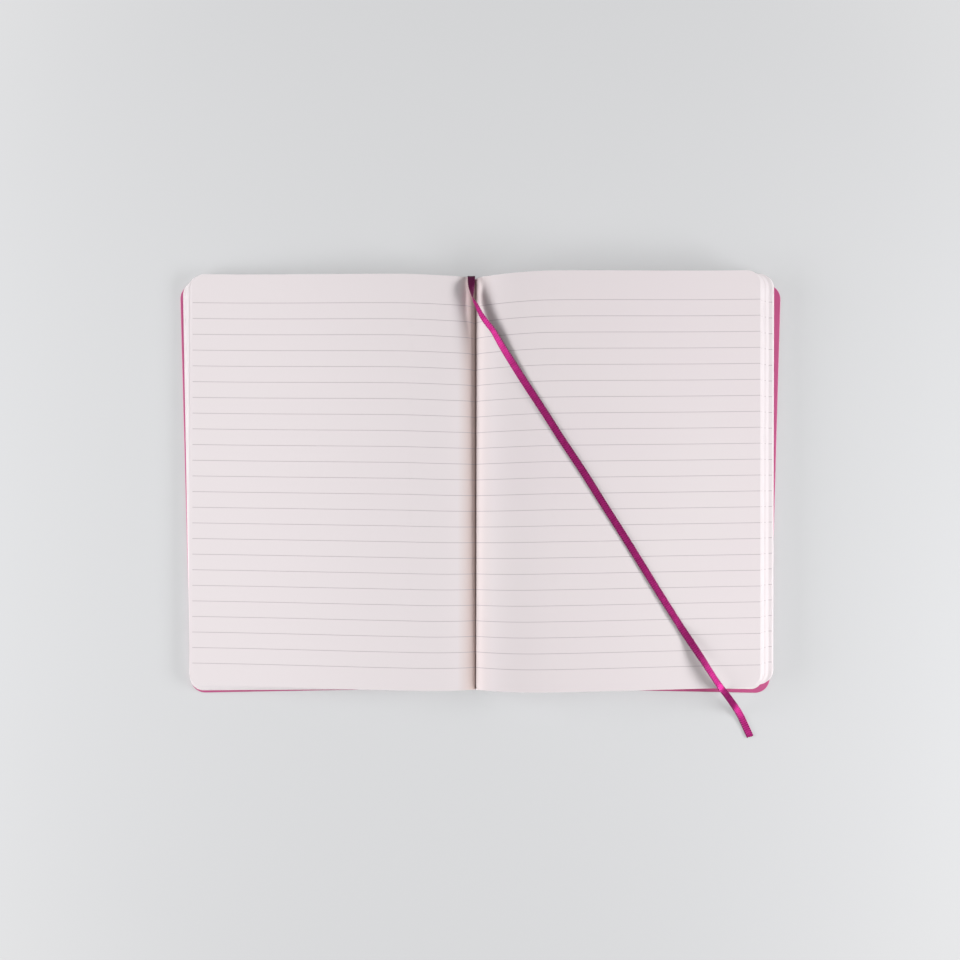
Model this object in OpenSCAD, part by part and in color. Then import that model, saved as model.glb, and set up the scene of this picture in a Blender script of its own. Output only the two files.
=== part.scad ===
// Soft-cover ruled notebook, lying open on a table.
// X runs across the open book, Y from tail to head, Z up from the table.
// The origin is under the middle of the spine.

/* [Pages] */
// Width of a leaf, from the sewing to the fore-edge
page_w = 144; // [90:0.5:210]
// Height of a leaf, from tail to head
page_h = 210; // [140:1:297]
// Radius of the rounded corners of the leaves
page_corner = 9; // [3:0.5:15]
// Thickness of the leaves turned to the left, at the fore-edge
left_stack = 2.6; // [1.5:0.1:6]
// Thickness of the leaves turned to the right, at the fore-edge
right_stack = 9.2; // [4:0.1:14]
// How far the left-hand leaves arch up near the gutter, above their fore-edge
left_arch = 6; // [2:0.1:9]
// How far the right-hand leaves arch up near the gutter, above their fore-edge
right_arch = 4.9; // [2:0.1:9]
// Distance from the gutter to the top of the left-hand arch
left_crest = 32; // [20:1:45]
// Distance from the gutter to the top of the right-hand arch
right_crest = 38; // [20:1:45]
// How far the top left-hand leaf is drawn in from the bottom one
left_fan = 3; // [1:0.1:8]
// How far the top right-hand leaf is drawn in from the bottom one
right_fan = 9.5; // [4:0.1:16]
// Number of steps that the fanned leaves make at each fore-edge
steps = 7; // [3:1:9]
// How far the gutter lies to the left of the middle of the spine
gutter_shift = 2.5; // [0:0.1:5]
// Height of the two flanks where they meet over the gutter, above the bottom leaf
gutter_h = 3.4; // [3:0.1:6]
// Depth of the narrow part of the gutter, below where the flanks meet
gutter_drop = 1.9; // [0.5:0.1:2.8]
// Half width of the narrow part of the gutter
gutter_half = 5; // [1:0.1:6]

/* [Twist of the soft book] */
// Turn of the top left-hand leaf, outer end towards the head, in degrees
left_top_turn = 0.95; // [0:0.05:1.2]
// Turn of the top right-hand leaf, outer end towards the head, in degrees
right_top_turn = 0.75; // [0:0.05:1.2]
// Turn of the bottom left-hand leaf, in degrees
left_low_turn = -0.3; // [-1:0.05:1]
// Turn of the bottom right-hand leaf, in degrees
right_low_turn = 0.1; // [-1:0.05:1]
// Turn of the front cover, outer end towards the tail, in degrees
front_cover_turn = 0.7; // [0:0.05:1.5]
// Turn of the back cover, outer end towards the tail, in degrees
back_cover_turn = 1.05; // [0:0.05:1.5]

/* [Cover] */
// Thickness of the soft cover
cover_t = 0.9; // [0.5:0.05:2]
// How far the cover stands out past the leaves at head and tail, none where all is cut flush
cover_over = 0; // [0:0.1:3]
// How far the cover stands out past the bottom leaf at the fore-edge
cover_reach = 1.2; // [0.5:0.1:4]
// Radius of the rounded corners of the cover
cover_corner = 10; // [4:0.5:16]
// Width of the spine, between the folds of the cover
spine_w = 14; // [10:0.5:24]
// Gap that stands for the bending of the cover at each fold
fold_gap = 0.3; // [0.2:0.05:0.6]

/* [Endpapers and lining] */
// Thickness of the paper pasted to the inside of each cover
endpaper_t = 0.2; // [0.1:0.05:0.4]
// Border of cover that shows round the pasted paper
endpaper_inset = 2; // [1:0.5:6]
// Air between the pasted paper and the first leaf
leaf_gap = 0.1; // [0.05:0.05:0.3]
// Border of the spine that the lining leaves free at each side
lining_inset = 1; // [0.5:0.25:3]
// Distance of the lining from the head and tail of the leaves
lining_end = 3; // [1:0.5:20]

/* [Ribbon marker] */
// Width of the woven ribbon
ribbon_w = 3.5; // [2:0.5:7]
// Thickness of the woven ribbon
ribbon_t = 0.4; // [0.2:0.1:0.8]

/* [Hidden] */
$fn = 64;

// Table, cover, endpaper and leaves lie on each other in this order.
leaves_z = cover_t + endpaper_t + leaf_gap;
lining_t = leaves_z - cover_t;
fold_x = spine_w / 2;
fold_r = cover_t / 2;
cover_half_h = page_h / 2 + cover_over;
cover_w = page_w + cover_reach;

gutter_x = -gutter_shift;

// Fore-edge of the bottom leaf and of the top leaf, counted from the gutter.
left_low_w = page_w + gutter_x + fold_x;
right_low_w = page_w + fold_x - gutter_x;
left_top_w = left_low_w - left_fan;
right_top_w = right_low_w - right_fan;

// The leaves fall from the arch to the fore-edge in a lengthened wave.
ease = 0.85;
// Points along each half of a leaf's curve, closer together near the gutter.
curve_n = 26;
curve_bias = 1.7;
// Layers of leaves run into each other by this much, so that they are one solid.
bite = 0.05;
// Each layer is drawn this much too large, and then cut to its outline.
spare = 5;

function sq(v) = v * v;

// Height of the top leaf above the bottom of the leaves, at a distance u from the gutter.
function flank(u, stack, arch, crest) =
    u < crest
        ? stack + arch - (stack + arch - gutter_h) * sq(1 - u / crest)
        : stack;
function gutter(u) = u < gutter_half ? gutter_drop * sq(1 - u / gutter_half) : 0;
function fall(u, arch, crest, w) =
    u < crest ? 0 : arch * (1 + cos(180 * pow((u - crest) / (w - crest), ease))) / 2;
function top_h(u, stack, arch, crest, w) =
    flank(u, stack, arch, crest) - gutter(u) + fall(u, arch, crest, w);

// Where layer k of the steps ends at the fore-edge.
function layer_w(k, low_w, top_w) = low_w + (top_w - low_w) * (k - 1) / (steps - 1);
function along(i, w) = w * pow(i / curve_n, curve_bias);

// One side's curve at a share s of the stack, from the gutter out to w.
function curve(s, w, dir, stack, arch, crest, top_w) =
    [for (i = [0 : curve_n])
        let (u = along(i, w))
        [gutter_x + dir * u, leaves_z + s * top_h(min(u, top_w), stack, arch, crest, top_w)]];
function turned_over(list) = [for (i = [len(list) - 1 : -1 : 0]) list[i]];

// The surface of the leaves at share s, from the left fore-edge to the right one.
function surface_line(s, left_w, right_w) = concat(
    turned_over(curve(s, left_w, -1, left_stack, left_arch, left_crest, left_top_w)),
    [for (i = [1 : curve_n])
        curve(s, right_w, 1, right_stack, right_arch, right_crest, right_top_w)[i]]);

// Height of the paper above the table, at a distance from the gutter on the right-hand page.
function paper_z(u) =
    leaves_z + top_h(u, right_stack, right_arch, right_crest, right_top_w);

// Ribbon: its middle line. Every row starts with its distance to the right of the gutter, in
// per cent of the leaf's width, and its Y, in per cent of the leaf's height.
// Up over the head beside the gutter, where it turns over, with the height above the place
// where the flanks meet, and the turn of its face about its length in degrees.
ribbon_head = [
    [-1.2, 50.4, -2.2, -180], [-1.2, 50.3, -0.4, -180], [-1.2, 50.2, 1.2, -180],
    [-1.2, 49.8, 2.5, -180], [-1.2, 49.1, 3.3, -175], [-1.2, 47.7, 4.1, -155],
    [-1.1, 46.1, 4.4, -122], [-0.7, 44.4, 4.6, -90], [0.7, 42.6, 4.9, -63],
    [2.2, 40.5, 5.4, -42], [4.1, 38.6, 5.9, -24]];
// Across the right-hand page, with the air between paper and ribbon.
ribbon_run = [
    [6.3, 36.6, 1.8], [8, 34.5, 1.5], [10, 32.1, 1.1], [12.4, 29.4, 0.7], [16.7, 24.6, 0.35],
    [21.2, 19.8, 0.25], [25.7, 15, 0.25], [30.1, 10.3, 0.25], [34.7, 5.6, 0.25],
    [39.2, 0.9, 0.25], [43.6, -3.9, 0.25], [48, -8.6, 0.25], [52.5, -13.4, 0.25],
    [56.9, -18.2, 0.25], [61.3, -23, 0.25], [65.7, -27.8, 0.25], [70.2, -32.6, 0.3],
    [72.4, -35, 0.5], [74.7, -37.4, 1], [77, -39.8, 1.6], [79.3, -42.2, 2.1],
    [81.5, -44.6, 2.4], [83.8, -47, 2.4]];
// Off the tail and down to the table, with the height in per cent of the paper's height.
ribbon_tail = [
    [85.8, -48.9, 116], [88.1, -50.7, 90], [90.5, -52.6, 55], [93, -54.7, 22],
    [95.4, -57.2, 3], [98.8, -62.2, 0]];
// Air under the ribbon where it lies on the table.
table_air = 0.2;
// Slant of the ribbon to the spine, which sets how far it leans with the paper.
slant = 32.7;

function out_u(row) = row[0] / 100 * page_w;
function laid(row, z, lean) = [gutter_x + out_u(row), row[1] / 100 * page_h, z, lean];
function paper_lean(u) = -atan((paper_z(u + 0.5) - paper_z(u - 0.5)) * cos(slant));
ribbon_path = concat(
    [for (r = ribbon_head) laid(r, leaves_z + gutter_h + r[2], r[3])],
    [for (r = ribbon_run)
        laid(r, paper_z(out_u(r)) + r[2] + ribbon_t / 2, paper_lean(out_u(r)))],
    [for (r = ribbon_tail)
        laid(r, table_air + ribbon_t / 2 + r[2] / 100 * paper_z(out_u(r)), 0)]);

// Width of the bevel along the edges of the ribbon.
ribbon_bevel = 0.4;
// Width of the straight strip of cover along its fold.
fold_strip = 2;
function ribbon_section(w, t) = [
    [w / 2, t / 4], [w / 2 - ribbon_bevel, t / 2], [ribbon_bevel - w / 2, t / 2], [-w / 2, t / 4],
    [-w / 2, -t / 4], [ribbon_bevel - w / 2, -t / 2], [w / 2 - ribbon_bevel, -t / 2], [w / 2, -t / 4]];

function spot(i) = [ribbon_path[i][0], ribbon_path[i][1], ribbon_path[i][2]];
function unit(v) = v / norm(v);
function heading(i) =
    unit(spot(min(i + 1, len(ribbon_path) - 1)) - spot(max(i - 1, 0)));
function level_side(i) = unit(cross(heading(i), [0, 0, 1]));
function side_way(i) =
    let (lean = ribbon_path[i][3], flat = level_side(i), rise = cross(flat, heading(i)))
    flat * cos(lean) + rise * sin(lean);
function ribbon_ring(i) =
    let (s = side_way(i), n = cross(s, heading(i)))
    [for (p = ribbon_section(ribbon_w, ribbon_t)) spot(i) + s * p[0] + n * p[1]];

// A leaf or cover seen from above: rounded at the fore-edge, and turned about the gutter.
// It reaches back past x = 0 by lap. dir is 1 to the right and -1 to the left.
module leaf_outline(w, half_h, corner, dir, turn, lap) {
    rotate(dir * turn) scale_side(dir) {
        translate([-lap, -half_h]) square([w - corner + lap, 2 * half_h]);
        translate([0, corner - half_h]) square([w, 2 * (half_h - corner)]);
        for (y = [corner - half_h, half_h - corner])
            translate([w - corner, y]) circle(corner);
    }
}

module scale_side(dir) {
    if (dir < 0) mirror([1, 0]) children();
    else children();
}

// Layer k of the leaves: its curved slab, cut to the outline that its leaves have there.
module leaf_layer(k) {
    low = (k - 1) / steps;
    high = k / steps;
    left_w = layer_w(k, left_low_w, left_top_w);
    right_w = layer_w(k, right_low_w, right_top_w);
    part = (k - 1) / (steps - 1);
    left_end = left_low_w + spare;
    right_end = right_low_w + spare;
    intersection() {
        rotate([90, 0, 0]) linear_extrude(page_h + 4 * spare, center = true)
            polygon(concat(surface_line(high, left_end, right_end),
                k == 1
                    ? [[gutter_x + right_end, leaves_z], [gutter_x - left_end, leaves_z]]
                    : [for (p = turned_over(surface_line(low, left_end, right_end)))
                        [p[0], p[1] - bite]]));
        translate([gutter_x, 0, 0]) linear_extrude(leaves_z + right_stack + right_arch + spare) {
            leaf_outline(left_w, page_h / 2, page_corner, -1,
                left_low_turn + (left_top_turn - left_low_turn) * part, gutter_half);
            leaf_outline(right_w, page_h / 2, page_corner, 1,
                right_low_turn + (right_top_turn - right_low_turn) * part, gutter_half);
        }
    }
}

module page_block() {
    color("#ede4e8") for (k = [1 : steps]) leaf_layer(k);
}

// One half of the cover: a turned panel, and a round bead along its fold.
module cover_panel(dir, turn) {
    color("#be4b7d") translate([dir * fold_x, 0, 0]) {
        linear_extrude(cover_t) {
            difference() {
                leaf_outline(cover_w, cover_half_h, cover_corner, dir, -turn, 0);
                translate([dir > 0 ? -fold_x : 0, -page_h])
                    square([fold_x, 2 * page_h]);
            }
            translate([dir > 0 ? 0 : -fold_strip, -cover_half_h])
                square([fold_strip, 2 * cover_half_h]);
        }
        translate([0, cover_half_h, fold_r]) rotate([90, 0, 0])
            cylinder(h = 2 * cover_half_h, r = fold_r);
    }
}

module endpaper(dir, turn) {
    w = cover_w - 2 * endpaper_inset;
    color("#f1ebec") translate([dir * (fold_x + endpaper_inset), 0, cover_t])
        linear_extrude(endpaper_t)
            leaf_outline(w, cover_half_h - endpaper_inset, cover_corner - endpaper_inset,
                dir, -turn, 0);
}

module front_cover() {
    cover_panel(-1, front_cover_turn);
}

module back_cover() {
    cover_panel(1, back_cover_turn);
}

module front_endpaper() {
    endpaper(-1, front_cover_turn);
}

module back_endpaper() {
    endpaper(1, back_cover_turn);
}

module spine_cover() {
    w = 2 * (fold_x - fold_r - fold_gap);
    color("#be4b7d") translate([-w / 2, -cover_half_h, 0])
        cube([w, 2 * cover_half_h, cover_t]);
}

module spine_lining() {
    w = spine_w - 2 * lining_inset;
    color("#d9d2c4") translate([-w / 2, lining_end - page_h / 2, cover_t])
        cube([w, page_h - 2 * lining_end, lining_t]);
}

module ribbon_marker() {
    rings = len(ribbon_path);
    points = [for (i = [0 : rings - 1]) each ribbon_ring(i)];
    // Cut the same way above and below, so that it keeps its thickness where it turns over.
    walls = [for (i = [0 : rings - 2]) for (j = [0 : 7])
        let (a = 8 * i + j, b = 8 * i + (j + 1) % 8)
        each j < 4
            ? [[a, b, b + 8], [a, b + 8, a + 8]]
            : [[a, b, a + 8], [b, b + 8, a + 8]]];
    ends = [[for (j = [7 : -1 : 0]) j], [for (j = [0 : 7]) 8 * (rings - 1) + j]];
    color("#b02878") polyhedron(points, concat(walls, ends));
}

front_cover();
back_cover();
spine_cover();
front_endpaper();
back_endpaper();
spine_lining();
page_block();
ribbon_marker();
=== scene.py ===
import math
import random

import bmesh
import bpy
import numpy as np
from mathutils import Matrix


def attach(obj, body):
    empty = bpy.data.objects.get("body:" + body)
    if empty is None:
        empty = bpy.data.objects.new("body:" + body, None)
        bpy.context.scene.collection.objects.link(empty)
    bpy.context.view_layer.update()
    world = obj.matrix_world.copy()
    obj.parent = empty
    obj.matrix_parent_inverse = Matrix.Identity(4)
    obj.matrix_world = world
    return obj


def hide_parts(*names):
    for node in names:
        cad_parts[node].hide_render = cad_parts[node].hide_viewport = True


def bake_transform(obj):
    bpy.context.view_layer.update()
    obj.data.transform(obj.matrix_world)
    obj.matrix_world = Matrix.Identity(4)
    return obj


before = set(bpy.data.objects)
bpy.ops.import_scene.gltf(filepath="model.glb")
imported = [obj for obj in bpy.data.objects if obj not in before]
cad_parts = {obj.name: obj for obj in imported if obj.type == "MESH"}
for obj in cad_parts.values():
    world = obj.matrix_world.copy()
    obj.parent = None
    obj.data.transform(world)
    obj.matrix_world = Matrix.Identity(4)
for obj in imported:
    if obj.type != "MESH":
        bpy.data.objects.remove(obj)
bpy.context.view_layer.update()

MM = 0.001


# Camera
# Straight above the open notebook, a little towards its tail, and leaning towards the tail.
# Its height and lens come from the spacing of the rules and from how far the arched paper
# is drawn towards it.
CAMERA_AT = (0.0, -21.0, 453.7)
CAMERA_LEAN, CAMERA_ROLL = 1.4, -0.13
CAMERA_LENS = 32.95
CAMERA_SHIFT = (-0.0003, 0.0703)

camera_data = bpy.data.cameras.new("camera")
camera_data.lens = CAMERA_LENS
camera_data.shift_x, camera_data.shift_y = CAMERA_SHIFT
camera = bpy.data.objects.new("camera", camera_data)
camera.location = [v * MM for v in CAMERA_AT]
camera.rotation_euler = (math.radians(-CAMERA_LEAN), 0, math.radians(CAMERA_ROLL))
bpy.context.collection.objects.link(camera)
bpy.context.scene.camera = camera


# Ribbon marker
# Woven polyester satin ribbon, 3.5 mm wide, glued in at the head of the spine. It comes up
# over the head, turns over beside the gutter, crosses the right-hand page and runs off the
# tail to a plain cut end on the table. Its length is seen in the photograph.
PAGE_W, PAGE_H = 144.0, 210.0
LEAVES_Z = 1.2
FOLD_X = 7.0
GUTTER_X = -2.5
GUTTER_LIP = 3.4
EASE = 0.85
LOWEST_INSET = 0.15

# The left side (-1) and the right side (1) of the open leaves, in mm out from the gutter. A
# side is a stack that arches to its crest and falls to its lowest leaf's edge. The fan is how
# far the top leaf's edge stays back, and its steps share that out from the bottom (0) to the
# top (1). Turns and slants are degrees, at the bottom and at the top leaf. The gutter is how
# far its lip drops, and its half width.
SIDES = {
    -1: {"leaves": 26, "stack": 2.6, "arch": 6.0, "crest": 32.0, "fan": 3.0,
         "low": PAGE_W + GUTTER_X + FOLD_X, "turns": (-0.25, 0.97), "slants": (-0.43, 0.67),
         "gutter": (2.25, 6.0), "steps": ((0, 0), (0.85, 0.68), (0.86, 0.95), (1, 1))},
    1: {"leaves": 92, "stack": 9.2, "arch": 4.9, "crest": 38.0, "fan": 9.5,
        "low": PAGE_W - GUTTER_X + FOLD_X - LOWEST_INSET, "turns": (0.85, 0.75),
        "slants": (0.22, 0.32), "gutter": (1.0, 4.6),
        "steps": ((0, 0), (0.2, 0.13), (0.21, 0.36), (0.45, 0.55), (0.46, 0.64),
                  (0.7, 0.825), (0.71, 0.878), (1, 1))},
}


def paper_height(u, side):
    """Height of the top leaf over the bottom of the leaves, u mm out from the gutter."""
    stack, arch, crest = side["stack"], side["arch"], side["crest"]
    u = np.asarray(u, float)
    flank = np.where(u < crest,
                     stack + arch - (stack + arch - GUTTER_LIP) * (1 - u / crest) ** 2, stack)
    drop, half = side["gutter"]
    gutter = drop * np.clip(1 - u / half, 0, 1) ** 2
    out = np.clip((u - crest) / (side["low"] - side["fan"] - crest), 0, 1) ** EASE
    fall = np.where(u < crest, 0, arch * (1 + np.cos(np.pi * out)) / 2)
    return flank - gutter + fall


# The ribbon's route: per cent of the page's width out from the gutter, and per cent of its
# height up from the middle. At the head come the rise over the gutter's lip in mm and the
# lean in degrees, on the page the air under the ribbon in mm and its roll against the
# paper, and past the page the share of the paper's height in per cent, and again a roll.
RIBBON_HEAD = [
    (-1.2, 50.4, -2.2, -180), (-1.2, 50.3, -0.4, -180), (-1.2, 50.2, 1.2, -180),
    (-1.2, 49.8, 2.5, -180), (-1.2, 49.1, 3.3, -175), (-1.2, 47.7, 4.1, -155),
    (-1.1, 46.1, 4.4, -122), (-0.7, 44.4, 4.6, -90), (0.7, 42.6, 4.9, -67),
    (2.2, 40.5, 5.4, -56), (4.1, 38.6, 5.9, -50)]
RIBBON_RUN = [
    (6.3, 36.6, 1.8), (8, 34.5, 1.5), (10, 32.1, 1.1), (12.4, 29.4, 0.7), (16.7, 24.6, 0.35),
    (21.2, 19.8, 0.25), (25.7, 15, 0.25), (30.1, 10.3, 0.25), (34.7, 5.6, 0.25),
    (39.2, 0.9, 0.25), (43.6, -3.9, 0.25), (48, -8.6, 0.25), (52.5, -13.4, 0.25),
    (56.9, -18.2, 0.25), (61.3, -23, 0.25), (65.7, -27.8, 0.25), (70.2, -32.6, 0.3),
    (72.4, -35, 0.5), (74.7, -37.4, 1), (77, -39.8, 1.6), (79.3, -42.2, 2.1),
    (81.5, -44.6, 2.4), (83.8, -47, 2.4)]
RIBBON_TAIL = [
    (85.8, -48.9, 116), (88.1, -50.7, 90), (90.5, -52.6, 55), (93, -54.7, 22),
    (95.4, -57.2, 3), (98.8, -62.2, 0)]
RIBBON_TAIL_ROLL = [23, 18, 14, 10, 4, 0]
RIBBON_ROLL = [-28, -24, -17, -10, -4] + [0] * 8 + [3, 6, 8, 11, 2, -6, 4, 16, 23, 26]
RIBBON_W, RIBBON_T = 3.5, 0.4
RIBBON_SLANT = 32.7
TABLE_AIR = 0.2
RIBBON_STEP = 0.25
WOVEN_THICK = 0.3
WOVEN_SPREAD = 1.05
CUP = 0.05
SELVEDGE_PITCH = 1.2
BEAD_FROM, BEAD_SPREAD, BEAD_SWELL = 0.75, 0.03, 0.22
RIB_PITCH = 1.1
FRAY = (-0.35, 0.25)
POINTS_PER_ROW = 40

route = []
for across, along, rise, lean in RIBBON_HEAD:
    route.append((across, along, LEAVES_Z + GUTTER_LIP + rise, lean))
for (across, along, air), roll in zip(RIBBON_RUN, RIBBON_ROLL):
    u = across / 100 * PAGE_W
    paper, before, after = LEAVES_Z + paper_height([u, u - 0.5, u + 0.5], SIDES[1])
    lean = -math.degrees(math.atan((after - before) * math.cos(math.radians(RIBBON_SLANT))))
    route.append((across, along, paper + air + RIBBON_T / 2, lean + roll))
for (across, along, share), roll in zip(RIBBON_TAIL, RIBBON_TAIL_ROLL):
    paper = LEAVES_Z + float(paper_height(across / 100 * PAGE_W, SIDES[1]))
    route.append((across, along, TABLE_AIR + RIBBON_T / 2 + share / 100 * paper, roll))
route = np.array([(GUTTER_X + a / 100 * PAGE_W, b / 100 * PAGE_H, z, lean)
                  for a, b, z, lean in route])


def through(rows, per_row):
    """A smooth curve through the rows, with so many points for each of them."""
    rows = np.vstack([2 * rows[0] - rows[1], rows, 2 * rows[-1] - rows[-2]])
    t = np.linspace(0, 1, per_row, endpoint=False)[:, None]
    out = []
    for a, b, c, d in zip(rows, rows[1:], rows[2:], rows[3:]):
        out.append(0.5 * (2 * b + (c - a) * t + (2 * a - 5 * b + 4 * c - d) * t ** 2
                          + (3 * b - a - 3 * c + d) * t ** 3))
    return np.vstack(out + [rows[-2:-1]])


fine = through(route, POINTS_PER_ROW)
run = np.concatenate([[0], np.cumsum(np.linalg.norm(np.diff(fine[:, :3], axis=0), axis=1))])
ribbon_length = run[-1]
rings = int(ribbon_length / RIBBON_STEP)
at = np.linspace(0, ribbon_length, rings)
line = np.column_stack([np.interp(at, run, fine[:, i]) for i in range(4)])
heading = np.gradient(line[:, :3], axis=0)
heading /= np.linalg.norm(heading, axis=1)[:, None]
level = np.cross(heading, (0, 0, 1))
level /= np.linalg.norm(level, axis=1)[:, None]
upward = np.cross(level, heading)
tilt = np.radians(line[:, 3])[:, None]
sideways = level * np.cos(tilt) + upward * np.sin(tilt)
normal = np.cross(sideways, heading)

# Its section from one edge to the other, thickest at the two woven edges, which are beaded.
across_top = np.array([1.0, 0.93, 0.82, 0.7, 0.35, 0.0, -0.35, -0.7, -0.82, -0.93, -1.0])
thick_top = np.array([0.35, 0.8, 1.0, 0.72, 0.78, 0.8, 0.78, 0.72, 1.0, 0.8, 0.35])
section = np.concatenate([across_top, across_top[::-1]])
section_z = np.concatenate([thick_top, -thick_top[::-1]])
edge = np.abs(section) > BEAD_FROM
beat = np.cos(2 * np.pi * at / SELVEDGE_PITCH)
wide = RIBBON_W / 2 * (WOVEN_SPREAD + BEAD_SPREAD * beat[:, None] * edge)
thick = WOVEN_THICK / 2 * (1 + BEAD_SWELL * beat[:, None] * edge)
cup = CUP * (1 - section ** 2)
points = (line[:, None, :3]
          + sideways[:, None, :] * (section * wide)[:, :, None]
          + normal[:, None, :] * (section_z * thick + cup)[:, :, None])

# The threads of its cut end are a little uneven.
fray = random.Random(4)
for j in range(len(across_top)):
    pull = fray.uniform(*FRAY)
    for i in (j, len(section) - 1 - j):
        points[-1, i] += heading[-1] * pull

size = len(section)
faces = [(i * size + j, i * size + (j + 1) % size,
          (i + 1) * size + (j + 1) % size, (i + 1) * size + j)
         for i in range(rings - 1) for j in range(size)]
faces.append(tuple(range(size - 1, -1, -1)))
faces.append(tuple((rings - 1) * size + j for j in range(size)))
ribbon_mesh = bpy.data.meshes.new("ribbon")
ribbon_mesh.from_pydata((points.reshape(-1, 3) * MM).tolist(), [], faces)
ribbon_mesh.update()
weave = ribbon_mesh.uv_layers.new(name="weave")
corner = np.empty(len(ribbon_mesh.loops), int)
ribbon_mesh.loops.foreach_get("vertex_index", corner)
uv = np.column_stack([(section * RIBBON_W / 2)[corner % size], at[corner // size]]) * MM
weave.data.foreach_set("uv", uv.ravel())
reverse = ribbon_mesh.attributes.new("reverse", "FLOAT", "POINT")
under = np.repeat([0.0, 1.0], len(across_top))
reverse.data.foreach_set("value", np.tile(under, rings).astype(np.float32))
ribbon = bpy.data.objects.new("ribbon", ribbon_mesh)
bpy.context.collection.objects.link(ribbon)
bpy.ops.object.select_all(action="DESELECT")
ribbon.select_set(True)
bpy.context.view_layer.objects.active = ribbon
bpy.ops.object.shade_smooth_by_angle(angle=math.radians(50))


def linear(hex_colour):
    """An sRGB hex value as linear red, green, blue and alpha."""
    parts = [int(hex_colour[i:i + 2], 16) / 255 for i in (1, 3, 5)]
    return [p / 12.92 if p <= 0.04045 else ((p + 0.055) / 1.055) ** 2.4 for p in parts] + [1]


def add(material, kind, inputs, **settings):
    """Adds one node. An input is a value, or another node's output to link."""
    made = material.node_tree.nodes.new("ShaderNode" + kind)
    for name, value in settings.items():
        setattr(made, name, value)
    for name, value in inputs.items():
        if isinstance(value, bpy.types.NodeSocket):
            material.node_tree.links.new(value, made.inputs[name])
        else:
            made.inputs[name].default_value = value
    return made


def new_material(name):
    """A material with nothing in it but its output."""
    material = bpy.data.materials.new(name)
    material.use_nodes = True
    for made in list(material.node_tree.nodes):
        if made.type != "OUTPUT_MATERIAL":
            material.node_tree.nodes.remove(made)
    return material


# Polyester satin: its floats run across it, so it shines where it tilts towards a light and
# is dark elsewhere, and its back is duller and darker, the darker colour partly painted
# shade for where it turns over at the head. Its two woven edges are beaded. Ribs and beads
# are drawn about twice as coarse as the real ones, so that they show.
SELVEDGE_FROM, SELVEDGE_TO = 0.95, 1.1
SLUB = 2.38
satin = new_material("woven_polyester_satin")
where = add(satin, "UVMap", {}, uv_map="weave").outputs["UV"]
parts = add(satin, "SeparateXYZ", {0: where}).outputs
off_middle = add(satin, "Math", {0: parts["X"]}, operation="ABSOLUTE").outputs[0]
in_edge = add(satin, "MapRange", {"Value": off_middle, "From Min": SELVEDGE_FROM * MM,
                                  "From Max": SELVEDGE_TO * MM}).outputs[0]
beads, ribs = [
    add(satin, "Math", {0: add(satin, "Math", {0: parts["Y"], 1: 2 * math.pi / (pitch * MM)},
                               operation="MULTIPLY").outputs[0]}, operation=wave).outputs[0]
    for pitch, wave in ((SELVEDGE_PITCH, "COSINE"), (RIB_PITCH, "SINE"))]
bead_tone = add(satin, "MapRange", {"Value": beads, "From Min": 0.0, "From Max": 0.7}).outputs[0]
dye = add(satin, "TexNoise", {"Vector": where, "Scale": 1 / (SLUB * MM),
                              "Detail": 4.0}).outputs[0]
rib_tone = add(satin, "MapRange", {"Value": ribs, "From Min": -1.0, "To Min": -0.22,
                                   "To Max": 0.22}).outputs[0]
dye = add(satin, "Math", {0: dye, 1: rib_tone}, operation="ADD").outputs[0]
body_tone = add(satin, "MixRGB", {0: dye, 1: linear("#6C0E41"), 2: linear("#AC2A78")}).outputs[0]
edge_tone = add(satin, "MixRGB", {0: bead_tone, 1: linear("#5A1038"),
                                  2: linear("#A83A7E")}).outputs[0]
tone = add(satin, "MixRGB", {0: in_edge, 1: body_tone, 2: edge_tone}).outputs[0]
underside = add(satin, "Attribute", {}, attribute_name="reverse").outputs["Fac"]
# Painted shade: the back is given a darker colour, partly its own and partly the shade it lies in
# where it turns over at the head.
tone = add(satin, "MixRGB", {0: underside, 1: tone, 2: linear("#4C0230")}).outputs[0]
shine = add(satin, "MapRange", {"Value": underside, "To Min": 0.8, "To Max": 0.15}).outputs[0]
bump = add(satin, "Bump", {"Height": ribs, "Strength": 0.3, "Distance": 0.04 * MM}).outputs[0]
across = add(satin, "Tangent", {}, direction_type="UV_MAP", uv_map="weave").outputs[0]
shade = add(satin, "BsdfPrincipled", {"Base Color": tone, "Normal": bump, "Metallic": shine,
                                      "Roughness": 0.45, "Anisotropic": 0.85,
                                      "Tangent": across, "Specular Tint": linear("#F0A0D0")})
satin.node_tree.links.new(shade.outputs[0], satin.node_tree.nodes[0].inputs[0])
ribbon_mesh.materials.append(satin)
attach(ribbon, "pages_and_spine")
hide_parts("ribbon_marker")


# Leaves
# 118 leaves of 80 g/m2 uncoated paper with rounded corners, sewn in sections and glued at
# the back. They are printed with 24 grey rules, and open a little before the middle, so
# that they arch on both sides of the gutter and fan out at the fore-edges.
CORNER_R = 7.0
LEAF_T = 0.08
SECTION_LEAVES = 8
SECTION_AIR = 0.3
SLACK = 0.06

# Each leaf rises round its own fold over the foot. Past the outermost fold it settles into
# the stack, and at the turn's reach it has its full turn and slant.
FOOT = 0.6
SETTLE = 6.0
TURN_REACH = 40.0

# The gutter lies a little further right, and its lip drops further, towards the head.
GUTTER_SLANT, GUTTER_SHIFT, GUTTER_TILT = 0.0035, 0.25, 0.8

# Where a leaf is cut across so that it can bend, in mm from its fold.
LEAF_CUTS = [0.12, 0.3, 0.55, 0.9, 1.4, 2.0, 2.8, 3.8, 5.0, 6.5, 8.2, 10, 12.5, 15.5, 19, 23, 27,
             31, 35, 39, 44, 50, 57, 65, 74, 84, 94, 104, 114, 124, 134]


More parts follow.
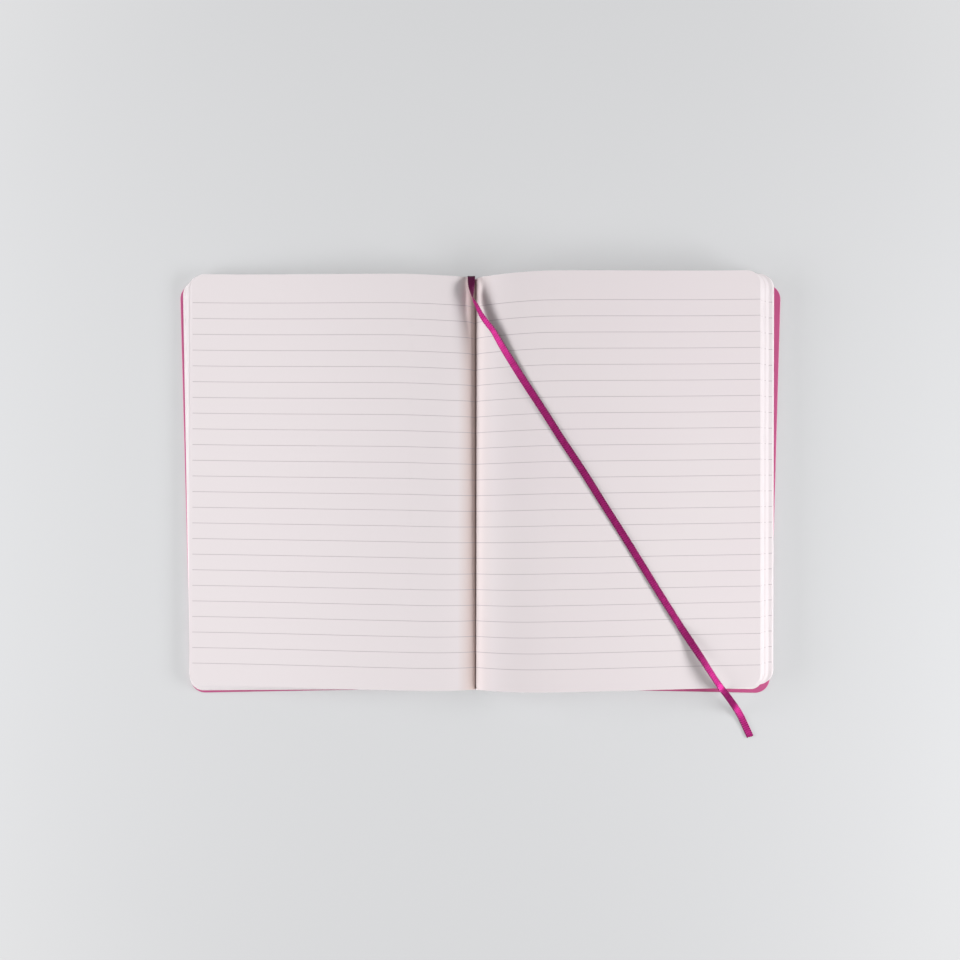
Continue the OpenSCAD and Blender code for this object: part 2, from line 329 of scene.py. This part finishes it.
def rounded_sheet(name, hand, start, end, half_h, thick, corner, segments, cuts):
    """A flat sheet from start to end mm out on one hand, with its two far corners rounded."""
    bpy.ops.object.select_all(action="DESELECT")
    middle = (start + end) / 2 * MM
    bpy.ops.mesh.primitive_plane_add(size=1, location=(hand * middle, 0, 0))
    made = bpy.context.object
    made.name = made.data.name = name
    made.scale = ((end - start) * MM, 2 * half_h * MM, 1)
    bpy.ops.object.transform_apply(location=True, rotation=True, scale=True)
    bpy.ops.object.mode_set(mode="EDIT")
    bpy.ops.mesh.select_mode(type="VERT")
    bpy.ops.mesh.select_all(action="DESELECT")
    shape = bmesh.from_edit_mesh(made.data)
    for v in shape.verts:
        v.select = hand * v.co.x > middle
    bmesh.update_edit_mesh(made.data)
    bpy.ops.mesh.bevel(offset=corner * MM, segments=segments, affect="VERTICES")
    for cut in cuts:
        bpy.ops.mesh.select_all(action="SELECT")
        bpy.ops.mesh.bisect(plane_co=(hand * cut * MM, 0, 0), plane_no=(1, 0, 0))
    bpy.ops.object.mode_set(mode="OBJECT")
    sheet = made.modifiers.new("sheet", "SOLIDIFY")
    sheet.thickness, sheet.offset = thick * MM, 1.0
    bpy.ops.object.modifier_apply(modifier="sheet")
    return made


pattern = rounded_sheet("leaf_pattern", 1, 0, PAGE_W, PAGE_H / 2, LEAF_T, CORNER_R, 9,
                        LEAF_CUTS)
flat = np.empty(len(pattern.data.vertices) * 3)
pattern.data.vertices.foreach_get("co", flat)
flat = flat.reshape(-1, 3) / MM
print_map = pattern.data.uv_layers[0]
print_map.name = "print"
corner = np.empty(len(pattern.data.loops), int)
pattern.data.loops.foreach_get("vertex_index", corner)
print_map.data.foreach_set("uv", (flat[corner, :2] * MM).ravel())
pattern.data.update()


def air_share(i, count):
    """How much of the air under the arch lies below leaf i: most is between sections."""
    if i == count - 1:
        return 1
    section, inside = divmod(i, SECTION_LEAVES)
    return (section + SECTION_AIR * inside / SECTION_LEAVES) * SECTION_LEAVES / count


loose = random.Random(11)
leaves = []
for hand, side in SIDES.items():
    count = side["leaves"]
    foot_span = FOLD_X - hand * GUTTER_X
    top_reach = side["low"] - side["fan"]
    for i in range(count):
        share = (i + 1) / count
        foot = (1 - share) * foot_span
        slack = loose.uniform(-SLACK, SLACK) if 0 < i < count - 1 else 0
        back = side["fan"] * np.interp(i / (count - 1), *zip(*side["steps"]))
        reach = side["low"] - back + slack
        u = foot + flat[:, 0] / PAGE_W * (reach - foot)
        height = paper_height(np.minimum(u, top_reach), side)
        drop, half = side["gutter"]
        height = height - (GUTTER_TILT * flat[:, 1] / PAGE_H * 2 * drop
                           * np.clip(1 - u / half, 0, 1) ** 2)
        packed = np.minimum(height, side["stack"])
        z = packed * i / count + (height - packed) * air_share(i, count)
        near = np.clip(u, 1e-6, None)
        spread = (height - LEAF_T) * np.clip(1 - foot / near, 0, 1)
        blend_in = np.clip((u - foot_span) / SETTLE, 0, 1)
        blend_in = blend_in * blend_in * (3 - 2 * blend_in)
        z = spread * (1 - blend_in) + z * blend_in
        t = np.clip((u - foot) / FOOT, 0, 1)
        z = LEAVES_Z + z * np.sqrt(t * (2 - t)) + flat[:, 2]
        held = np.clip((u - foot) / TURN_REACH, 0, 1)
        held = held * held * (3 - 2 * held)
        turn, slant = [math.radians(low + (top - low) * i / (count - 1)) * held
                       for low, top in (side["turns"], side["slants"])]
        lean_in = (GUTTER_SHIFT + GUTTER_SLANT * flat[:, 1]) * (1 - held)
        made = np.column_stack([GUTTER_X + lean_in + hand * (u - flat[:, 1] * np.sin(slant)),
                                flat[:, 1] + u * np.sin(turn), z]) * MM
        leaf = pattern.copy()
        leaf.data = pattern.data.copy()
        leaf.data.vertices.foreach_set("co", made.ravel())
        if hand < 0:
            leaf.data.flip_normals()
        tone = leaf.data.attributes.new("leaf_tone", "FLOAT", "POINT")
        tone.data.foreach_set("value", np.full(len(flat), loose.random(), np.float32))
        ruled = leaf.data.attributes.new("print_reach", "FLOAT", "POINT")
        ruled.data.foreach_set("value", np.full(len(flat), 1.0 if hand < 0 else 0.0, np.float32))
        leaf.data.update()
        bpy.context.collection.objects.link(leaf)
        leaves.append(leaf)
bpy.data.objects.remove(pattern)
bpy.ops.object.select_all(action="DESELECT")
for leaf in leaves:
    leaf.select_set(True)
bpy.context.view_layer.objects.active = leaves[0]
bpy.ops.object.join()
pages = bpy.context.object
pages.name = pages.data.name = "pages"
bpy.ops.object.shade_smooth_by_angle(angle=math.radians(40))

# Uncoated offset paper, printed with hairline grey rules: matt, a little warm, with fine
# fibres that only just break the light. Its trimmed edge is a little rounded and painted
# paler, as a highlight, and down in the gutter it is painted warmer and darker, as shade
# and warm bounced light.
RULE_PITCH, RULE_FIRST, RULE_LAST, RULE_W = 8.0, 90.5, -93.5, 0.28
RULE_BLUR, RULE_MARGIN = 0.04, 1.0
LEFT_MARGIN = 0.9
TRIM = 0.22
FIBRE, CLOUD = 1.11, 71.4
# Where the painted gutter shade fades out, in mm from each leaf's fold.
PAINTED_SHADE_FROM, PAINTED_SHADE_TO = 1.0, 9.0
paper = new_material("uncoated_offset_paper")
where = add(paper, "UVMap", {}, uv_map="print").outputs["UV"]
parts = add(paper, "SeparateXYZ", {0: where}).outputs
down = add(paper, "Math", {0: RULE_FIRST * MM, 1: parts["Y"]}, operation="SUBTRACT").outputs[0]
off_rule = add(paper, "Math", {0: down, 1: RULE_PITCH / 2 * MM}, operation="PINGPONG").outputs[0]
rule = add(paper, "MapRange", {"Value": off_rule, "From Min": (RULE_W / 2 - RULE_BLUR) * MM,
                               "From Max": (RULE_W / 2 + RULE_BLUR) * MM,
                               "To Min": 1.0, "To Max": 0.0}).outputs[0]
below_first = add(paper, "Math", {0: down, 1: -RULE_MARGIN * MM},
                  operation="GREATER_THAN").outputs[0]
above_last = add(paper, "Math", {0: down, 1: (RULE_FIRST - RULE_LAST + RULE_MARGIN) * MM},
                 operation="LESS_THAN").outputs[0]
on_left = add(paper, "Attribute", {}, attribute_name="print_reach").outputs["Fac"]
edge_at = add(paper, "MapRange", {"Value": on_left, "To Min": (PAGE_W + RULE_MARGIN) * MM,
                                  "To Max": (PAGE_W - LEFT_MARGIN) * MM}).outputs[0]
inside = add(paper, "Math", {0: parts["X"], 1: edge_at}, operation="LESS_THAN").outputs[0]
up = add(paper, "Math", {0: parts["Y"]}, operation="ABSOLUTE").outputs[0]
past = []
for way, start in ((parts["X"], PAGE_W - CORNER_R), (up, PAGE_H / 2 - CORNER_R)):
    over = add(paper, "Math", {0: way, 1: start * MM}, operation="SUBTRACT").outputs[0]
    past.append(add(paper, "Math", {0: over, 1: 0.0}, operation="MAXIMUM").outputs[0])
round_corner = add(paper, "CombineXYZ", {0: past[0], 1: past[1]}).outputs[0]
from_centre = add(paper, "VectorMath", {0: round_corner}, operation="LENGTH").outputs["Value"]
to_edge = add(paper, "Math", {0: CORNER_R * MM, 1: from_centre}, operation="SUBTRACT").outputs[0]
# Painted highlight: the outermost TRIM mm of each leaf is painted paler, for the light its cut
# edge catches.
painted_edge_highlight = add(paper, "MapRange", {"Value": to_edge, "From Min": TRIM * MM, "From Max": 0.0,
                                  "To Min": 0.0, "To Max": 1.0}).outputs[0]
off_trim = add(paper, "Math", {0: to_edge, 1: 0.7 * TRIM * MM},
               operation="GREATER_THAN").outputs[0]
for mask in (below_first, above_last, inside, off_trim):
    rule = add(paper, "Math", {0: rule, 1: mask}, operation="MULTIPLY").outputs[0]
place = add(paper, "TexCoord", {}).outputs["Object"]
fibre, cloud = [add(paper, "TexNoise", {"Vector": place, "Scale": 1 / (grain * MM),
                                        "Detail": detail}).outputs[0]
                for grain, detail in ((FIBRE, 4.0), (CLOUD, 2.0))]
leaf_tone = add(paper, "Attribute", {}, attribute_name="leaf_tone").outputs["Fac"]
sheet_tone = add(paper, "MixRGB", {0: cloud, 1: linear("#EBE0E4"),
                                   2: linear("#EDE5E6")}).outputs[0]
stock = add(paper, "MixRGB", {0: leaf_tone, 1: sheet_tone, 2: linear("#EEE6E8")}).outputs[0]
# Painted shade: over the first mm out from each leaf's fold the paper is painted warmer and
# darker, fully on the left and less on the right, for the gutter's shade and the warm light
# thrown into it.
painted_gutter_shade = add(paper, "MapRange", {"Value": parts["X"], "From Min": PAINTED_SHADE_FROM * MM,
                               "From Max": PAINTED_SHADE_TO * MM, "To Min": 1.0,
                               "To Max": 0.0}).outputs[0]
gutter_shade_share = add(paper, "MapRange", {"Value": on_left, "To Min": 0.3, "To Max": 1.0}).outputs[0]
painted_gutter_shade = add(paper, "Math", {0: painted_gutter_shade, 1: gutter_shade_share}, operation="MULTIPLY").outputs[0]
stock = add(paper, "MixRGB", {0: painted_gutter_shade, 1: stock, 2: linear("#E4CFC9")}).outputs[0]
inked = add(paper, "MixRGB", {0: rule, 1: stock, 2: linear("#C3B7BC")}).outputs[0]
# Paints the pale highlight along each leaf's edge.
inked = add(paper, "MixRGB", {0: painted_edge_highlight, 1: inked, 2: linear("#F2ECEE")}).outputs[0]
bump = add(paper, "Bump", {"Height": fibre, "Strength": 0.12, "Distance": 0.02 * MM}).outputs[0]
cut_edge = add(paper, "MapRange", {"Value": to_edge, "From Min": 0.0,
                                   "From Max": 1.5 * TRIM * MM}).outputs[0]
bump = add(paper, "Bump", {"Height": cut_edge, "Strength": 1.0, "Distance": 0.028 * MM,
                           "Normal": bump}).outputs[0]
shade = add(paper, "BsdfPrincipled", {"Base Color": inked, "Normal": bump, "Roughness": 0.8,
                                      "Specular IOR Level": 0.3})
paper.node_tree.links.new(shade.outputs[0], paper.node_tree.nodes[0].inputs[0])
pages.data.materials.clear()
pages.data.materials.append(paper)
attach(pages, "pages_and_spine")
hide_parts("page_block")


# Cover
# One sheet of soft pink polyurethane leatherette on card, 0.9 mm thick, folded at both
# edges of the spine. It is made here as two halves that meet under the middle of the
# spine, each cut across closely at its own fold.
COVER_T, COVER_R = 0.9, 7.5
COVER_HEADWARD = 0.4
COVER_HALF = PAGE_H / 2
EDGE_R = 0.42
TURN_SETTLE = 4.0

# The fold bends between these two places, in mm from the middle of the spine, and the cover
# is cut across closely there.
COVER_CUTS = [5.6, 6.0, 6.3, 6.6, 6.9, 7.2, 7.5, 7.8, 8.1, 8.4, 8.8, 11, 20, 40, 60, 80, 100,
              120, 136]

# Polyurethane leatherette, embossed with a fine pebble grain and coated: satin, with a
# soft shine on its rounded edges.
PEBBLE, MOTTLE = 0.714, 25.0
leatherette = new_material("embossed_polyurethane_leatherette")
place = add(leatherette, "TexCoord", {}).outputs["Object"]
pebbles = add(leatherette, "TexVoronoi", {"Vector": place, "Scale": 1 / (PEBBLE * MM)},
              feature="SMOOTH_F1").outputs["Distance"]
mottle = add(leatherette, "TexNoise", {"Vector": place, "Scale": 1 / (MOTTLE * MM),
                                       "Detail": 4.0}).outputs[0]
tone = add(leatherette, "MixRGB", {0: mottle, 1: linear("#B54576"),
                                   2: linear("#C4518A")}).outputs[0]
dull = add(leatherette, "MapRange", {"Value": mottle, "To Min": 0.42, "To Max": 0.56}).outputs[0]
bump = add(leatherette, "Bump", {"Height": pebbles, "Strength": 0.3,
                                 "Distance": 0.06 * MM}).outputs[0]
shade = add(leatherette, "BsdfPrincipled", {"Base Color": tone, "Normal": bump,
                                            "Roughness": dull, "Specular IOR Level": 0.5})
leatherette.node_tree.links.new(shade.outputs[0], leatherette.node_tree.nodes[0].inputs[0])


def turn_at_fold(sheet, hand, degrees, rise):
    """Turns a sheet about its fold, in its own plane, and lifts it by rise mm."""
    co = np.empty(len(sheet.data.vertices) * 3)
    sheet.data.vertices.foreach_get("co", co)
    co = co.reshape(-1, 3)
    from_fold = hand * co[:, 0] - FOLD_X * MM
    turn = math.radians(-hand * degrees) * np.clip(from_fold / (TURN_SETTLE * MM), 0, 1)
    x, y = co[:, 0] - hand * FOLD_X * MM, co[:, 1].copy()
    outside = from_fold > 0
    co[:, 0] = np.where(outside, hand * FOLD_X * MM + x * np.cos(turn) - y * np.sin(turn),
                        co[:, 0])
    co[:, 1] = np.where(outside, x * np.sin(turn) + y * np.cos(turn), y) + COVER_HEADWARD * MM
    co[:, 2] += rise * MM
    sheet.data.vertices.foreach_set("co", co.ravel())
    sheet.data.update()


# Each half's hand, its name, how far out it ends in mm, and its turn in degrees.
COVER_HALVES = ((-1, "front", FOLD_X + PAGE_W + 0.75, 0.95),
                (1, "back", FOLD_X + PAGE_W + 0.85, 1.3))
for hand, word, end, degrees in COVER_HALVES:
    half = rounded_sheet("cover_" + word, hand, 0, end, COVER_HALF, COVER_T, COVER_R, 14,
                         COVER_CUTS)
    bpy.ops.object.mode_set(mode="EDIT")
    bpy.ops.mesh.select_mode(type="EDGE")
    bpy.ops.mesh.select_all(action="DESELECT")
    shape = bmesh.from_edit_mesh(half.data)
    for e in shape.edges:
        if len(e.link_faces) == 2 and not all(abs(v.co.x) < 1e-6 for v in e.verts):
            e.select = e.calc_face_angle() > math.radians(60)
    bmesh.update_edit_mesh(half.data)
    bpy.ops.mesh.bevel(offset=EDGE_R * MM, segments=5, profile=0.5, affect="EDGES")
    bpy.ops.object.mode_set(mode="OBJECT")
    turn_at_fold(half, hand, degrees, 0)
    bpy.ops.object.shade_smooth_by_angle(angle=math.radians(35))
    half.data.materials.append(leatherette)
    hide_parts(word + "_cover", "spine_cover")
    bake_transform(half)


# Endpapers
# Each is a stiffer sheet, 0.2 mm thick, pasted to the inside of its half of the cover. It
# begins beside the fold and stays back from the cover's edges, out of sight under the leaves.
ENDPAPER_T, ENDPAPER_R = 0.2, 6.0
ENDPAPER_INSET = 2.0
FORE_EDGE_INSET = 3.9

# Cartridge paper, felt-finished and pasted down flat: matt, a little clouded by the paste.
FELT, PASTE_CLOUD = 1.43, 55.6
endpaper = new_material("pasted_cartridge_paper")
place = add(endpaper, "TexCoord", {}).outputs["Object"]
felt, cloud = [add(endpaper, "TexNoise", {"Vector": place, "Scale": 1 / (grain * MM),
                                          "Detail": detail}).outputs[0]
               for grain, detail in ((FELT, 4.0), (PASTE_CLOUD, 2.0))]
tone = add(endpaper, "MixRGB", {0: cloud, 1: linear("#ECE5E6"), 2: linear("#F1EBEA")}).outputs[0]
bump = add(endpaper, "Bump", {"Height": felt, "Strength": 0.15, "Distance": 0.03 * MM}).outputs[0]
shade = add(endpaper, "BsdfPrincipled", {"Base Color": tone, "Normal": bump, "Roughness": 0.85,
                                         "Specular IOR Level": 0.3})
endpaper.node_tree.links.new(shade.outputs[0], endpaper.node_tree.nodes[0].inputs[0])
for hand, word, end, degrees in COVER_HALVES:
    pasted = rounded_sheet("endpaper_" + word, hand, FOLD_X + ENDPAPER_INSET,
                           end - FORE_EDGE_INSET, COVER_HALF - ENDPAPER_INSET, ENDPAPER_T,
                           ENDPAPER_R, 10, [FOLD_X + TURN_SETTLE])
    turn_at_fold(pasted, hand, degrees, COVER_T)
    bpy.ops.object.shade_smooth_by_angle(angle=math.radians(35))
    pasted.data.materials.append(endpaper)
    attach(pasted, word + "_half")
    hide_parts(word + "_endpaper")


# Spine lining
# Cloth on paper, glued over the sewn back of the leaves, under their folds and out of
# sight. It is the CAD node, whose plain strip is right, with its own material.
THREAD_PITCH = 0.7
# A wave texture has this many bands in each unit of its scale.
BANDS = 3.2
mull = new_material("cloth_backed_paper")
place = add(mull, "TexCoord", {}).outputs["Object"]
threads = [add(mull, "TexWave", {"Vector": place, "Scale": 1 / (BANDS * THREAD_PITCH * MM)},
               bands_direction=way).outputs["Fac"] for way in ("X", "Y")]
cloth = add(mull, "Math", {0: threads[0], 1: threads[1]}, operation="MULTIPLY").outputs[0]
tone = add(mull, "MixRGB", {0: cloth, 1: linear("#C9C1B2"), 2: linear("#DDD6C8")}).outputs[0]
bump = add(mull, "Bump", {"Height": cloth, "Strength": 0.4, "Distance": 0.08 * MM}).outputs[0]
shade = add(mull, "BsdfPrincipled", {"Base Color": tone, "Normal": bump, "Roughness": 0.9})
mull.node_tree.links.new(shade.outputs[0], mull.node_tree.nodes[0].inputs[0])

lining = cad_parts["spine_lining"]
if not lining.material_slots:
    lining.data.materials.append(mull)
for slot in lining.material_slots:
    slot.material = mull


# Table and light
# A pale table, which passes into the backdrop away from the notebook. It lets part of the view
# through, and from below all of it, so that the covers still show where they hang below it.
# Soft studio light comes from both sides and from above.
TABLE_SIZE = 6.0
TABLE_FADES = (0.26, 0.5)
TABLE_CLEAR = 0.4
BACKDROP = 0.8


def seen_ray(material):
    """1 where a ray is one that the camera sees: direct, mirrored or through glass."""
    ray = add(material, "LightPath", {}).outputs
    seen = ray["Is Camera Ray"]
    for kind in ("Is Glossy Ray", "Is Transmission Ray"):
        seen = add(material, "Math", {0: seen, 1: ray[kind]}, operation="MAXIMUM").outputs[0]
    return seen


bpy.ops.object.select_all(action="DESELECT")
bpy.ops.mesh.primitive_plane_add(size=TABLE_SIZE)
table = bpy.context.object
table.name = "table"
top = new_material("pale_table")
to_camera = add(top, "LightPath", {}).outputs["Is Camera Ray"]
from_below = add(top, "NewGeometry", {}).outputs["Backfacing"]
through_share = add(top, "MapRange", {"Value": from_below, "To Min": TABLE_CLEAR,
                                      "To Max": 1.0}).outputs[0]
see_through = add(top, "Math", {0: to_camera, 1: through_share},
                  operation="MULTIPLY").outputs[0]
matt = add(top, "BsdfDiffuse", {"Color": linear("#D8D9DC")}).outputs[0]
place = add(top, "TexCoord", {}).outputs["Object"]
away = add(top, "VectorMath", {0: place}, operation="LENGTH").outputs["Value"]
far_off = add(top, "MapRange", {"Value": away, "From Min": TABLE_FADES[0],
                                "From Max": TABLE_FADES[1]},
              interpolation_type="SMOOTHSTEP").outputs[0]
backdrop = add(top, "Emission", {"Color": (1, 1, 1, 1), "Strength": BACKDROP}).outputs[0]
faded = add(top, "Math", {0: far_off, 1: seen_ray(top)}, operation="MULTIPLY").outputs[0]
matt = add(top, "MixShader", {0: faded, 1: matt, 2: backdrop}).outputs[0]
clear = add(top, "BsdfTransparent", {}).outputs[0]
both = add(top, "MixShader", {0: see_through, 1: matt, 2: clear}).outputs[0]
top.node_tree.links.new(both, top.node_tree.nodes[0].inputs[0])
table.data.materials.append(top)

SKY_LIGHT = 0.22
for name, at_mm, size_mm, power in (("left_softbox", (-880, -40, 285), (900, 320), 9.5),
                                    ("right_softbox", (860, -160, 300), (700, 200), 9.1),
                                    ("top_fill", (0, 0, 1500), (1600, 1600), 2.6)):
    lamp = bpy.data.lights.new(name, "AREA")
    lamp.shape = "RECTANGLE"
    lamp.size, lamp.size_y = size_mm[0] * MM, size_mm[1] * MM
    lamp.energy = power
    holder = bpy.data.objects.new(name, lamp)
    holder.location = [v * MM for v in at_mm]
    aim = -holder.location
    holder.rotation_euler = aim.to_track_quat("-Z", "Y").to_euler()
    bpy.context.collection.objects.link(holder)

world = bpy.context.scene.world or bpy.data.worlds.new("world")
bpy.context.scene.world = world
world.use_nodes = True
world.node_tree.nodes.clear()
strength = add(world, "MapRange", {"Value": seen_ray(world), "To Min": SKY_LIGHT,
                                   "To Max": BACKDROP}).outputs[0]
sky = add(world, "Background", {"Color": (1, 1, 1, 1), "Strength": strength}).outputs[0]
add(world, "OutputWorld", {"Surface": sky})

bpy.context.scene.view_settings.view_transform = "Standard"
